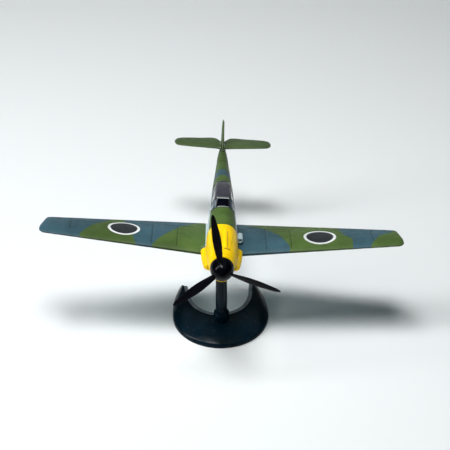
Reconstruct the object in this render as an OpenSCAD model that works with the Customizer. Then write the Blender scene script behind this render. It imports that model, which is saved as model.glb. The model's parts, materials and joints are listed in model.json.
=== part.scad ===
// Snap-together display model of a single-seat, low-wing propeller fighter on its stand.
// Millimetres, +Z up. The origin is on the table, on the axis of the stand's post.
// The aircraft faces -Y; its left (port) wing points to +X.
// Aircraft pieces are drawn in the aircraft's own level frame: y runs aft from the wing's
// root leading edge, z runs up from it. in_flight() carries them to the stand.

/* [Stand] */
// Outer radius of the foot's round front
foot_r = 38; // [36:0.5:42]
// Length of the foot's arms behind its widest line, at their outer edges
arm_len = 34.5; // [30:0.5:40]
// Length of the arms at the opening's edge
inner_len = 28.5; // [26:0.5:32]
// Height of the foot's raised inner lip
foot_h = 9; // [8:0.5:12]
// Radius of the round end of the foot's opening
opening_r = 22.6; // [20:0.2:23]
// Turn of the foot about the middle of its widest line
foot_turn = 4; // [-10:0.5:10]
// Distance of the post in front of the foot's widest line
post_ahead = 12.8; // [11:0.2:14]
// Height of the point about which the aircraft is tilted
pivot_h = 79.5; // [70:0.5:95]
// Nose-up angle of the aircraft
pitch = 10; // [0:1:18]
// Bank of the aircraft, left wing low
bank = 2.5; // [0:0.5:5]

/* [Wing] */
// Wing span
span = 268; // [260:1:280]
// Chord on the centreline
root_chord = 57.5; // [55:0.5:60]
// Chord at the tip, before rounding
tip_chord = 26.5; // [25:0.5:30]
// Distance that the leading edge runs back from root to tip
sweep_back = 3.5; // [1:0.5:6]
// Dihedral angle
dihedral = 5.5; // [4:0.5:7]
// Incidence angle
incidence = 2.3; // [1:0.1:3]
// Thickness of moulded skins
skin = 1.3; // [1:0.1:1.5]

/* [Propeller] */
// Radius of the propeller
prop_r = 44; // [40:0.2:46]
// Widest chord of a blade
blade_chord = 6.4; // [5:0.2:7.4]
// Number of blades
blade_count = 3; // [2:1:4]
// Angle of the first blade from straight up
blade_turn = 10.9; // [0:0.1:30]
// Radius of the spinner at its back
spinner_r = 8.45; // [8:0.05:8.6]
// Length of the spinner
spinner_len = 12.2; // [12:0.2:16]

/* [Hidden] */
$fn = 48;
gap = 0.1;                  // seam between neighbouring mouldings
fine = 0.05;                // running clearance on a radius
half_span = span / 2;
axis_z = 11.3;              // height of the propeller's axis
nose_y = -38;               // front edge of the cowling
spinner_y = nose_y - 0.5;   // back of the spinner
blade_y = -43.2;            // plane of the blades
cowl_end = 4.5;             // back edge of the engine cowling
deck_end = 31.5;            // back edge of the deck ahead of the windscreen
hood_end = 70;              // back edge of the canopy
tail_start = 139;           // front edge of the tail moulding
hinge_y = 163;              // rudder hinge line
deck_angle = 32;            // where the decks meet the side shells, above the widest line
cowl_angle = -20;           // where the cowling halves meet
wing_root_x = 12;           // inner end of the wing skins
pivot = [0, 14, 0.95];      // tilting point in the aircraft's frame
post_r_low = 4.5;
post_r_top = 4.1;
stud_r = 2.5;               // stud on the post that the aircraft plugs onto
plug_r = 3.5;               // plug at the foot of the post
boss_h = 16;                // top of the post's socket on the foot
shaft_r = 1.5;
axle_r = 1;
wheel_x = 47;               // stowed wheel's place along the wing
wheel_y = 19;
wheel_r = 8.9;
hub_r = 5.4;

blue = [0.72, 0.80, 0.83];
green = [0.36, 0.43, 0.24];
slate = [0.30, 0.39, 0.42];
yellow = [0.98, 0.80, 0.08];
black = [0.06, 0.06, 0.07];
grey = [0.35, 0.36, 0.38];
clear = [0.35, 0.37, 0.40, 0.5];

// ---------------------------------------------------------------- shared shapes

function spow(v, e) = sign(v) * pow(abs(v), e);
function mix(a, b, k) = a + (b - a) * k;
function ease(k) = let (c = max(0, min(1, k))) c * c * (3 - 2 * c);

// Index of the table's row that starts the stretch holding v.
function row_at(table, v) = max([0, for (i = [0 : len(table) - 2]) if (v >= table[i][0]) i]);
function slope_at(table, i, c) =
    let (a = max(0, i - 1), b = min(len(table) - 1, i + 1))
    (table[b][c] - table[a][c]) / (table[b][0] - table[a][0]);
// Column c of the table at v, along a smooth cubic through the rows.
function smooth(table, v, c) =
    let (i = row_at(table, v), p = table[i], q = table[i + 1], h = q[0] - p[0],
         k = max(0, min(1, (v - p[0]) / h)), m = slope_at(table, i, c) * h,
         n = slope_at(table, i + 1, c) * h)
    (2 * pow(k, 3) - 3 * k * k + 1) * p[c] + (pow(k, 3) - 2 * k * k + k) * m
    + (3 * k * k - 2 * pow(k, 3)) * q[c] + (pow(k, 3) - k * k) * n;

function tri_volume(p, f) = p[f[0]] * cross(p[f[1]], p[f[2]]);
function sum(list, i = 0, total = 0) = i == len(list) ? total : sum(list, i + 1, total + list[i]);
function turned(f) = [for (i = [len(f) - 1 : -1 : 0]) f[i]];

// Triangles across a loop of n points, in strips between its two long sides. A loop of an
// odd length starts at the point that the two sides share.
function across(n) = let (odd = n % 2, half = (n - odd) / 2)
    concat(odd ? [[0, n - 1, 1]] : [], [for (i = [odd : half - 2 + odd])
        let (j = n - 1 - i + odd) each [[i, j, j - 1], [i, j - 1, i + 1]]]);
// A closed solid through loops of points, all of one length, capped at both ends.
module loft(loops) {
    n = len(loops[0]);
    last = (len(loops) - 1) * n;
    points = [for (loop = loops) each loop];
    sides = [for (r = [0 : len(loops) - 2], i = [0 : n - 1])
        let (a = r * n + i, b = r * n + (i + 1) % n) each [[a, b, b + n], [a, b + n, a + n]]];
    first_cap = across(n);
    last_cap = [for (f = first_cap) turned([for (i = f) i + last])];
    faces = concat(sides, first_cap, last_cap);
    outward = sum([for (f = faces) tri_volume(points, f)]) > 0;
    polyhedron(points, [for (f = faces) outward ? turned(f) : f]);
}

module in_flight() {
    translate([0, 0, pivot_h]) rotate([-pitch, 0, 0]) rotate([0, bank, 0])
        translate(-pivot) children();
}
module along_y(y, x = 0, z = axis_z) { translate([x, y, z]) rotate([-90, 0, 0]) children(); }
// side is 1 for the left (port) half and -1 for the right.
module on_side(side) { if (side > 0) children(); else mirror([1, 0, 0]) children(); }

// ---------------------------------------------------------------- fuselage form

// y, half width, top, height of the widest line, bottom, squareness
BODY = [
    [-38, 8.7, 20.0, 11.3, 2.6, 2.0],
    [-30, 10.2, 21.5, 10.8, 0.6, 2.15],
    [-15, 11.3, 23.0, 10.2, -2.2, 2.3],
    [0, 11.5, 24.1, 9.8, -4.0, 2.4],
    [15, 11.1, 25.1, 9.6, -5.0, 2.4],
    [31.5, 10.5, 26.5, 10.2, -5.2, 2.4],
    [50, 9.8, 28.2, 11.0, -4.4, 2.35],
    [70, 8.7, 29.4, 12.2, -1.8, 2.3],
    [90, 7.4, 27.8, 13.9, 1.9, 2.2],
    [115, 5.8, 25.9, 16.2, 6.8, 2.1],
    [139, 4.2, 24.0, 18.0, 11.6, 2.1],
    [163, 1.8, 21.8, 18.6, 15.2, 2.1]
];

function body_pt(y, t, inset = 0) =
    let (w = smooth(BODY, y, 1) - inset, zm = smooth(BODY, y, 3), e = 2 / smooth(BODY, y, 5),
         h = sin(t) > 0 ? smooth(BODY, y, 2) - inset - zm : zm - smooth(BODY, y, 4) - inset)
    [w * spow(cos(t), e), y, zm + h * spow(sin(t), e)];
// Half width of the fuselage at a height.
function body_x(y, z) =
    let (zm = smooth(BODY, y, 3), n = smooth(BODY, y, 5),
         k = min(1, z > zm ? (z - zm) / (smooth(BODY, y, 2) - zm) : (zm - z) / (zm - smooth(BODY, y, 4))))
    smooth(BODY, y, 1) * pow(1 - pow(k, n), 1 / n);
function arc_loop(y, t0, t1, steps, thick) = concat(
    [for (i = [0 : steps]) body_pt(y, mix(t0, t1, i / steps))],
    [for (i = [steps : -1 : 0]) body_pt(y, mix(t0, t1, i / steps), thick)]);

// A skin of the fuselage between two stations and two angles, which are functions of y.
module body_skin(y0, y1, t0, t1, rows, steps, thick = skin) {
    loft([for (r = [0 : rows]) let (y = mix(y0, y1, r / rows)) arc_loop(y, t0(y), t1(y), steps, thick)]);
}
// Angle of the seam between decks and sides: level over most of the length, then rising
// until the rear deck comes to a narrow end at the tail.
function seam(y) = deck_angle + 54 * ease((y - 114) / (tail_start - 114));
module body_solid(y0, y1, grow, rows = 8, steps = 20) {
    loft([for (r = [0 : rows]) [for (i = [0 : steps - 1])
        body_pt(mix(y0, y1, r / rows), 360 * i / steps, -grow)]]);
}

// ---------------------------------------------------------------- wing form

function chord_at(x) = mix(root_chord, tip_chord, x / half_span);
tip_le_r = 5;               // plan radius of the tip's front corner
tip_rake = 5.6;             // how steeply the tip's edge runs aft as it comes inboard
tip_nose = 6.5;             // length of edge left at the tip's outermost point, behind its front corner
function corner(x, r) = let (k = (x - half_span + r) / r) k > 0 ? r * (1 - sqrt(max(0, 1 - k * k))) : 0;
function soft_min(a, b, r) = (a + b - sqrt(pow(a - b, 2) + r * r)) / 2;
function wing_le(x) = sweep_back * x / half_span + corner(x, tip_le_r);
function wing_te(x) = soft_min(sweep_back * x / half_span + chord_at(x),
    sweep_back + tip_le_r + tip_nose + tip_rake * (half_span - x), 4);
function tip_round(x) = let (k = (x - half_span + 3) / 3) k > 0 ? sqrt(max(0.02, 1 - k * k)) : 1;
function half_thick(x, c) = tip_round(x) * (5 * mix(0.14, 0.115, x / half_span) * chord_at(x)
    * (0.2969 * sqrt(c) - 0.126 * c - 0.3516 * c * c + 0.2843 * pow(c, 3) - 0.1036 * pow(c, 4)) + 0.28 * c);
function wing_mid(x, c) = let (w = wing_te(x) - wing_le(x))
    x * tan(dihedral) + 0.07 * c * (1 - c) * w - c * w * sin(incidence);
function wing_pt(x, c, k) =
    [x, mix(wing_le(x), wing_te(x), c), wing_mid(x, c) + k * half_thick(x, c)];
function spread(i, n) = (1 - cos(180 * i / n)) / 2;
chord_steps = 12;
wing_stations = concat([wing_root_x, 40, 70, 100],
    [for (from_tip = [14, 8, 5.2, 3.8, 2.8, 1.8, 0.9, 0.3, 0]) half_span - from_tip]);

// One half of the wing's thickness: k is 1 for the upper skin and -1 for the lower.
function skin_loop(x, k) = concat(
    [for (i = [0 : chord_steps]) let (c = spread(i, chord_steps))
        wing_pt(x, c, k) + [0, 0, i == 0 ? 0 : k * 0.02]],
    [for (i = [chord_steps : -1 : 1]) let (c = spread(i, chord_steps))
        wing_pt(x, c, 0) + [0, 0, k * max(0.02, half_thick(x, c) - skin)]]);
module wing_skin(k) { loft([for (x = wing_stations) skin_loop(x, k)]); }
// The whole section of the wing at x, grown by a margin; headroom raises its upper side.
function foil_loop(x, grow, headroom = 0) = concat(
    [for (i = [0 : chord_steps]) wing_pt(x, spread(i, chord_steps), 1) + [0, 0, grow + headroom]],
    [for (i = [chord_steps : -1 : 0]) wing_pt(x, spread(i, chord_steps), -1) - [0, 0, grow]]);
module wing_solid(grow, x0, x1, headroom = 0) {
    loft([for (x = [x0, (x0 + x1) / 2, x1]) foil_loop(x, grow, headroom)]);
}
// The wing panel's own plane: z up from its middle surface at the root's leading edge.
module on_panel(side, x, y, z) {
    on_side(side) rotate([0, -dihedral, 0]) translate([x, y, z]) children();
}
leg_y = 17.5;
module leg_bay() {
    on_panel(1, wheel_x, wheel_y, -8) cylinder(r = wheel_r + 0.9, h = 8.5);
    on_panel(1, 15.5, leg_y - 2.6, -8) cube([30, 5.2, 8.5]);
}
spar_y = 25;
module spar_bar(grow) {
    on_panel(1, 6, spar_y - grow, -1.4 - grow) cube([30, 3 + 2 * grow, 2.6 + 2 * grow]);
}

// ---------------------------------------------------------------- stand

rim_h = 3;                  // height of the foot's upright outer edge
dome = 2;                   // how steeply the foot rises from its rim
lip_w = 3;                  // width of the sloping inner lip
lip_drop = 0.4;             // fall of that lip towards the opening
arm_taper = 58;             // half length of the ellipse that the arms' outer edges follow
opening_back = 16.4;        // centre of the opening's round end, behind the widest line
flare = 2.6;                // widening of the opening on each side, towards the arms' ends
foot_shift = -0.6;          // sideways offset of the foot from the post
wall = 2;
foot_steps = 16;

// Places on the foot's outline, from k = -1 at one arm's end to 1 at the other.
arm_angle = 90 + asin(arm_len / arm_taper);
function outer_edge(k) = let (a = arm_angle * k)
    [foot_r * sin(a), (abs(a) < 90 ? -foot_r : -arm_taper) * cos(a)];
function inner_edge(k, r) =
    let (arc = 90 * PI / 180 * r, way = abs(k) * (arc + inner_len - opening_back), a = 90 * way / arc,
         wide = flare * ease((way / arc - 0.7) / 0.8))
    [sign(k) * (r * (a < 90 ? sin(a) : 1) + wide),
     a < 90 ? opening_back - r * cos(a) : opening_back + way - arc];
// One slice across the foot, outer edge to opening and back underneath; hollow is 0 at a solid end.
function foot_slice(k, hollow) =
    let (o = outer_edge(k), m = inner_edge(k, opening_r + lip_w), e = inner_edge(k, opening_r), top = 6,
         at = function(p, z) [p[0], p[1], z], height = function(t) mix(rim_h, foot_h, 1 - pow(1 - t, dome)))
    concat([at(o, 0), at(o, rim_h - 0.5)],
        [for (i = [0 : top]) let (t = mix(0.03, 1, i / top)) at(mix(o, m, t), height(t))],
        [at(e, foot_h - lip_drop), at(e, 0), at(mix(e, o, 0.12), 0)],
        [for (i = [top : -1 : 1]) let (t = i / (top + 1))
            at(mix(o, m, t), max(0.01, (height(t) - wall) * hollow))],
        [at(mix(o, e, 0.1), 0)]);
module foot_shell() {
    loft([for (i = [-foot_steps : foot_steps]) let (k = i / foot_steps)
        foot_slice(k, abs(i) == foot_steps ? 0 : 1)]);
}
module stand_base() {
    color(black) difference() {
        union() {
            translate([foot_shift, post_ahead, 0]) rotate([0, 0, foot_turn]) foot_shell();
            cylinder(r = plug_r + 2.5, h = boss_h);
        }
        translate([0, 0, 3]) cylinder(r = plug_r + fine, h = boss_h);
    }
}
module stand_post() {
    shoulder = boss_h + gap;
    color(black) {
        translate([0, 0, 4]) cylinder(r = plug_r, h = shoulder - 3.9);
        difference() {
            translate([0, 0, shoulder]) cylinder(r1 = post_r_low, r2 = post_r_top, h = pivot_h - shoulder);
            in_flight() translate([-20, -10, -5.2]) cube([40, 50, 20]);
        }
        in_flight() translate([0, pivot[1], -8]) cylinder(r = stud_r, h = 14.8);
    }
}

// ---------------------------------------------------------------- fuselage pieces

module stud_hole(r) { translate([0, pivot[1], -12]) cylinder(r = r, h = 19.2); }

module centre_block() {
    color(grey) difference() {
        union() {
            translate([-6.9, 4, 0]) cube([13.8, 24.8, 8.5]);
            translate([-4.2, 6, -2.4]) cube([8.4, 20, 3]);
            for (x = [-4, 4], y = [8.2, 24.2]) translate([x, y, 8.4]) cylinder(r = 2.4, h = 1.8);
        }
        stud_hole(stud_r + fine);
        for (side = [-1, 1]) on_side(side) spar_bar(fine);
    }
}
module wing_spar() { color(grey) for (side = [-1, 1]) on_side(side) spar_bar(0); }

module fuselage_side(side) {
    color(blue) on_side(side) difference() {
        body_skin(cowl_end + gap, tail_start - gap, function(y) -89.7, function(y) seam(y) - 0.5, 18, 9);
        stud_hole(stud_r + 0.5);
        spar_bar(gap);
    }
}
module root_fairing(side) {
    stretch = [0.15, 1];
    color(blue) on_side(side) difference() {
        loft([for (k = [0, 0.5, 1]) [for (p = foil_loop(wing_root_x, 0.01))
            let (inner = body_x(p[1], p[2]) + 0.12, x = mix(inner, wing_root_x - 0.06, k),
                 rise = 1.6 * pow(1 - k, 2) * (p[1] > 6 && p[1] < 55 && p[2] > wing_mid(wing_root_x, 0.5) ? 1 : 0))
            [min(x, wing_root_x - 0.06 * k), p[1], p[2] + rise]]]);
        spar_bar(gap);
        body_solid(-2, 62, 0.06, 10, 32);
    }
}

// Height at which a peg meets the inside of the upper cowling.
function peg_top(y) = body_pt(y, 76, skin + 0.15)[2];
module engine_block() {
    color(grey) difference() {
        union() {
            along_y(nose_y + 0.4) cylinder(r = 6.8, h = cowl_end - nose_y - 1);
            translate([-3.4, -30, axis_z + 4]) cube([6.8, 30, 3.9]);
            for (y = [-25, -15, -5]) translate([0, y, axis_z + 7]) cylinder(r = 2.2, h = peg_top(y) - axis_z - 7);
        }
        along_y(nose_y - 1) cylinder(r = shaft_r + fine, h = 30);
        along_y(-20) cylinder(r = 3.3, h = 40);
    }
}

trough_x = 4.2;
module cowl_upper() {
    color(yellow) difference() {
        body_skin(nose_y, cowl_end - gap, function(y) cowl_angle, function(y) 180 - cowl_angle, 10, 22);
        for (x = [-trough_x, trough_x]) translate([x, -27, 22.6]) rotate([-93, 0, 0]) cylinder(r = 1.1, h = 24);
    }
}
module cowl_lower() {
    color(yellow) body_skin(nose_y, -0.6, function(y) cowl_angle - 1, function(y) 1 - 180 - cowl_angle, 8, 16);
}
// A bulge on the fuselage: deepest in the middle of its angles, with depth(y) given per row.
function bulge_loop(y, t0, t1, steps, depth, off = 0.06) = concat(
    [for (i = [0 : steps]) let (s = 2 * i / steps - 1)
        body_pt(y, mix(t0, t1, i / steps), -off - 0.15 - depth * pow(1 - pow(abs(s), 3), 0.6))],
    [for (i = [steps : -1 : 0]) body_pt(y, mix(t0, t1, i / steps), -off)]);
module oil_cooler_scoop() {
    mouth = -35.5;
    color(yellow) difference() {
        loft([for (y = [mouth, -33, -29, -24, -18, -12])
            bulge_loop(y, -62, -118, 10, 3.1 * (1 - ease((y + 30) / 19)))]);
        loft([for (y = [mouth - 1, mouth + 7]) [for (i = [0 : 15]) let (a = 360 * i / 16)
            [3.9 * spow(cos(a), 0.6), y, 0.3 + 1.2 * spow(sin(a), 0.6)]]]);
    }
}
// Six stacks in a row, each flaring outwards as it runs aft.
stack_count = 6;
stack_pitch = 5.2;
stack_front = -31.2;
module exhaust(side) {
    color(yellow) on_side(side) loft([for (s = [0 : stack_count - 1], k = [0, 0.12, 0.88, 0.96])
        bulge_loop(stack_front + stack_pitch * (s + k), -36, -4, 6,
            (k == 0 || k == 0.96 ? 2.1 : mix(2.9, 4.1, k)) * mix(0.72, 1, s / (stack_count - 1)))]);
}
intake_at = [13, 9.5, 8.6];
intake_r = 2.2;
module supercharger_intake() {
    color(blue) difference() {
        union() {
            along_y(intake_at[1], intake_at[0], intake_at[2]) cylinder(r = intake_r, h = 8.6);
            translate([intake_at[0], intake_at[1] + 8.6, intake_at[2]]) sphere(r = intake_r);
            translate([9, intake_at[1] + 0.8, intake_at[2] - 1.6]) cube([4, 8, 3.2]);
        }
        along_y(intake_at[1] - 1, intake_at[0], intake_at[2]) cylinder(r = intake_r - 0.7, h = 7);
        body_solid(0, 30, 0.06, 6, 28);
    }
}
module cowl_deck() {
    color(green) body_skin(cowl_end + gap, deck_end, function(y) seam(y), function(y) 180 - seam(y), 4, 16);
}
module rear_deck() {
    color(green) body_skin(hood_end + gap, tail_start - gap, function(y) seam(y), function(y) 180 - seam(y), 14, 14);
}
module rear_former() {
    color(grey) difference() {
        along_y(73, 0, 13.6) cylinder(r = 5.6, h = 5);
        along_y(72, 0, 13.6) cylinder(r = 3, h = 8);
    }
}

// ---------------------------------------------------------------- cockpit

module cockpit_tub() {
    color(black) difference() {
        translate([-6.2, 33.5, 10.4]) cube([12.4, 32, 9]);
        translate([-5.2, 34.5, 11.4]) cube([10.4, 30, 10]);
    }
}
module seat() {
    color(grey) {
        translate([-3.4, 49.5, 11.5]) cube([6.8, 6.5, 1.6]);
        translate([-3.4, 55.6, 11.9]) rotate([-12, 0, 0]) cube([6.8, 1.4, 12]);
    }
}
module instrument_panel() { color(black) translate([-4.4, 35, 11.5]) cube([8.8, 1.2, 10.4]); }
module control_column() {
    color(black) {
        translate([0, 44, 11.5]) cylinder(r = 0.6, h = 6.5);
        translate([0, 44, 18]) sphere(r = 1);
    }
}

// Canopy section: u runs from the left sill (0) over the roof (0.5) to the right sill (1).
ROOF = [[39.4, 31.4], [42, 32.6], [46, 33.5], [52, 33.8], [58, 33.4], [64, 31.8], [70, 29.5], [72, 28.9]];
function sill(y) = body_pt(y, deck_angle) + [0, 0, 0.05];
function hood_pt(y, u, inset = 0) =
    let (a = 180 * u, m = ease((y - 56) / 14), edge = sill(y), w = edge[0] - inset,
         high = smooth(ROOF, y, 1) - inset - edge[2], n = 0.25, rise = spow(sin(a), n),
         box = [w * spow(cos(a), n) * (1 - 0.4 * rise * high / 14), y, edge[2] + high * rise],
         oval = body_pt(y, mix(deck_angle, 180 - deck_angle, u), inset) + [0, 0, 0.05])
    mix(box, oval, m);
hood_front = 39.4;
hood_lean = 0.56;           // how far the hood's front edge leans forward per millimetre of height
function hood_at(y, u, inset, lean) = let (p = hood_pt(y, u, inset)) [p[0], y - lean * (p[2] - sill(y)[2]), p[2]];
function hood_loop(y, lean, steps) = concat(
    [for (i = [0 : steps]) hood_at(y, i / steps, 0, lean)],
    [for (i = [steps : -1 : 0]) hood_at(y, i / steps, 0.9, lean)]);
module canopy_hood() {
    color(clear) loft([for (y = [hood_front, 44, 50, 56, 60, 64, 67, hood_end - gap])
        hood_loop(y, hood_lean * (1 - ease((y - hood_front) / 12)), 20)]);
}
function shield(inset) = [for (s = [-1, 1]) each [
    [s * (8.9 - inset), deck_end + 0.1 + inset, sill(deck_end)[2]], [s * (8.8 - inset), 39.1, sill(39.2)[2]],
    [s * (8.3 - inset), deck_end + 0.3 + inset, 21.5], [s * (7.7 - inset), 36.4, 25],
    [s * (4.9 - inset), 29.5 + inset, 25.2], [s * (4.9 - inset), 32.1 + inset, 31 - inset],
    [s * (4.8 - inset), 33.05, 31 - inset], [s * (6.1 - inset), 34.1, 29]]];
module point_hull(points) { hull() for (p = points) translate(p) cube(0.02, center = true); }
module windscreen() {
    color(clear) difference() {
        point_hull(concat(shield(0), [[0, 29.1, 26.2], [0, 32.9, 31.3]]));
        point_hull(concat(shield(0.9), [[0, 40, 20], [0, 41, 30], [6, 41, 20], [-6, 41, 20], [0, 31, 15]]));
        body_solid(25, deck_end + 0.08, 0.08, 3, 28);
    }
}

// ---------------------------------------------------------------- tail

module tail_section() {
    color(green) loft([for (y = [tail_start, 145, 151, 157, hinge_y - 0.4])
        [for (i = [0 : 23]) body_pt(y, 15 * i)]]);
}
// Outline of fin and rudder: height, leading edge, trailing edge.
FIN = [[15.5, 157, 171], [19, 150, 175.5], [23, 142, 179.5], [27, 143.5, 181.7], [31.4, 147.6, 182],
       [35.8, 151.8, 180.2], [38.6, 155, 176.8], [40.1, 158.5, 172.5], [40.8, 161.5, 168]];
function fin_half(z) = 1.35 * (1 - 0.45 * ease((z - 20) / 24));
function fin_x(z, c) = fin_half(z) * min(1, 3.2 * sqrt(max(0, c)) * (1 - c) + 0.28);
function fin_row(z, y0, y1, n) = let (le = smooth(FIN, z, 1), te = smooth(FIN, z, 2), w = te - le)
    concat([for (i = [0 : n]) let (y = mix(max(y0, le), min(y1, te), i / n))
               [fin_x(z, (y - le) / w), y, z]],
           [for (i = [n : -1 : 0]) let (y = mix(max(y0, le), min(y1, te), i / n))
               [-fin_x(z, (y - le) / w), y, z]]);
module tail_fin() {
    color(green) difference() {
        loft([for (z = [22, 24, 27, 31.4, 35.8, 38.6, 40.1, 40.8]) fin_row(z, 100, hinge_y - 0.2, 6)]);
        body_solid(tail_start - 2, hinge_y, 0.06, 6, 32);
    }
}
module rudder() {
    color(green) loft([for (row = FIN) let (z = row[0]) fin_row(z, hinge_y + 0.2, 200, 6)]);
}
stab_z = 26.5;
// Plan of one tailplane half: distance out, leading edge, trailing edge.
STAB = [[1.4, 141.5, 157], [6.5, 142.2, 164.2], [20, 143.8, 163.6], [34, 145.6, 162.6],
        [38, 147, 161], [39.8, 149.4, 158.6], [40.5, 152, 155.8]];
function stab_row(row) =
    let (le = row[1], w = row[2] - row[1], t = mix(1.35, 0.8, row[0] / 40) * min(1, 0.35 + (40.6 - row[0]) / 3))
    [for (k = [1, -1], i = k > 0 ? [0 : 8] : [8 : -1 : 0]) let (c = spread(i, 8))
        [row[0], le + c * w, stab_z + k * t * (2.9 * sqrt(c) * (1 - c) + 0.12)]];
module tailplane(side) { color(green) on_side(side) loft([for (row = STAB) stab_row(row)]); }
module tail_wheel() {
    color(black) difference() {
        union() {
            translate([-0.9, 129.5, 4.6]) cube([1.8, 3.2, 8]);
            translate([-2, 131.2, 4.6]) rotate([0, 90, 0]) cylinder(r = 3.1, h = 4);
        }
        body_solid(120, 138, 0.06, 4, 28);
    }
}

// ---------------------------------------------------------------- wing pieces

module wing_upper(side) { color(slate) on_side(side) wing_skin(1); }
module wing_lower(side) { color(blue) on_side(side) difference() { wing_skin(-1); leg_bay(); } }
module radiator(side) {
    color(blue) on_side(side) difference() {
        translate([32, 0, 0]) rotate([0, -90, 0])
            linear_extrude(15) polygon([[2, 31], [-5.2, 31], [-5.6, 34], [-5, 44], [-2, 51], [2, 51]]);
        translate([18.2, 30, -4.4]) cube([12.6, 5, 2.9]);
        wing_solid(0.08, 14, 36, 12);
    }
}
module gear_leg(side) {
    color(grey) {
        on_panel(side, 16.5, leg_y, 1) rotate([0, 90, 0]) cylinder(r = 0.6, h = wheel_x - 16.5);
        on_panel(side, wheel_x - 1.2, leg_y - 0.9, 0.4) cube([2.4, wheel_y - leg_y + 2, 1.2]);
        on_panel(side, wheel_x, wheel_y, -2.8) cylinder(r = axle_r, h = 4);
        on_panel(side, wheel_x, wheel_y, -3) cylinder(r = axle_r + 0.6, h = 0.25);
    }
}
module gear_door(side) {
    color(blue) on_panel(side, 16.2, leg_y - 2.3, -2.9) cube([wheel_x - wheel_r - 18, 4.6, 1.1]);
}
module wheel_ring(side, r_out, r_in, z0, h) {
    on_panel(side, wheel_x, wheel_y, z0) difference() {
        cylinder(r = r_out, h = h, $fn = 64);
        translate([0, 0, -1]) cylinder(r = r_in, h = h + 2, $fn = 64);
    }
}
module wheel_hub(side) { color(grey) wheel_ring(side, hub_r, axle_r + fine, -2.7, 2.8); }
module tyre(side) { color(black) wheel_ring(side, wheel_r, hub_r, -2.9, 3.1); }

// ---------------------------------------------------------------- propeller

// Distance from the axis, chord share, blade angle.
BLADE = [[4.5, 0.5, 40], [9.5, 0.68, 34], [15, 0.88, 29], [21, 1, 25], [27.5, 0.94, 21],
         [34, 0.74, 18], [39.5, 0.54, 15], [42.5, 0.34, 14], [44, 0.12, 14]];
function blade_loop(row) =
    let (r = row[0] * prop_r / 44, c = blade_chord * row[1], a = row[2], t = mix(1.5, 0.45, row[0] / 44))
    [for (i = [0 : 15]) let (q = 360 * i / 16, u = c * cos(q) / 2, v = t * sin(q) / 2)
        [-u * cos(a) + v * sin(a), -u * sin(a) - v * cos(a), r]];
module propeller_blades() {
    color(black) translate([0, blade_y, axis_z]) difference() {
        union() {
            for (b = [0 : blade_count - 1]) rotate([0, -blade_turn - 360 * b / blade_count, 0])
                loft([for (row = BLADE) blade_loop(row)]);
            rotate([-90, 0, 0]) translate([0, 0, -2]) cylinder(r = 5, h = 4);
        }
        rotate([-90, 0, 0]) translate([0, 0, -5]) cylinder(r = shaft_r, h = 10);
    }
}
function ogive(k) = spinner_r * pow(1 - k * k * (0.55 + 0.45 * k), 0.78);
module spinner() {
    wall_in = 1.2;
    steps = 14;
    outer = [for (i = [0 : steps]) let (k = i / steps) [max(0, ogive(k)), k * spinner_len]];
    inner = [for (i = [steps : -1 : 0]) let (k = i / steps * 0.86) [max(0, ogive(k) - wall_in), k * spinner_len]];
    color(black) difference() {
        translate([0, spinner_y, axis_z]) rotate([90, 0, 0])
            rotate_extrude($fn = 96) polygon(concat(outer, [[0, 0.86 * spinner_len]], inner));
        for (b = [0 : blade_count - 1]) translate([0, blade_y, axis_z])
            rotate([0, -blade_turn - 360 * b / blade_count, 0]) cylinder(r = 2, h = 20);
    }
}
module spinner_backplate() {
    color(black) difference() {
        along_y(spinner_y - 1.1) cylinder(r = spinner_r - 1.35, h = 1.1);
        along_y(spinner_y - 3) cylinder(r = shaft_r, h = 6);
    }
}
shaft_back = -19.6;
module propeller_shaft() { color(grey) along_y(blade_y - 2) cylinder(r = shaft_r, h = shaft_back - blade_y + 2); }
module shaft_retainer() { color(grey) along_y(shaft_back) cylinder(r = 2.9, h = 2.4); }

// ---------------------------------------------------------------- the model

stand_base();
stand_post();
in_flight() centre_block();
in_flight() wing_spar();
in_flight() wing_upper(1);  // wing_upper_left
in_flight() wing_upper(-1);  // wing_upper_right
in_flight() wing_lower(1);  // wing_lower_left
in_flight() wing_lower(-1);  // wing_lower_right
in_flight() root_fairing(1);  // root_fairing_left
in_flight() root_fairing(-1);  // root_fairing_right
in_flight() fuselage_side(1);  // fuselage_left
in_flight() fuselage_side(-1);  // fuselage_right
in_flight() engine_block();
in_flight() cowl_upper();
in_flight() cowl_lower();
in_flight() oil_cooler_scoop();
in_flight() exhaust(1);  // exhaust_left
in_flight() exhaust(-1);  // exhaust_right
in_flight() supercharger_intake();
in_flight() cowl_deck();
in_flight() rear_deck();
in_flight() rear_former();
in_flight() cockpit_tub();
in_flight() seat();
in_flight() instrument_panel();
in_flight() control_column();
in_flight() windscreen();
in_flight() canopy_hood();
in_flight() tail_section();
in_flight() tail_fin();
in_flight() rudder();
in_flight() tailplane(1);  // tailplane_left
in_flight() tailplane(-1);  // tailplane_right
in_flight() tail_wheel();
in_flight() radiator(1);  // radiator_left
in_flight() radiator(-1);  // radiator_right
in_flight() gear_leg(1);  // gear_leg_left
in_flight() gear_leg(-1);  // gear_leg_right
in_flight() gear_door(1);  // gear_door_left
in_flight() gear_door(-1);  // gear_door_right
in_flight() wheel_hub(1);  // wheel_hub_left
in_flight() wheel_hub(-1);  // wheel_hub_right
in_flight() tyre(1);  // tyre_left
in_flight() tyre(-1);  // tyre_right
in_flight() propeller_blades();
in_flight() spinner();
in_flight() spinner_backplate();
in_flight() propeller_shaft();
in_flight() shaft_retainer();
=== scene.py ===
# Looks of the propeller aircraft display model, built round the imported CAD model.
import json
import math

import bmesh
import bpy
import numpy as np
from mathutils import Matrix, Vector


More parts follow.
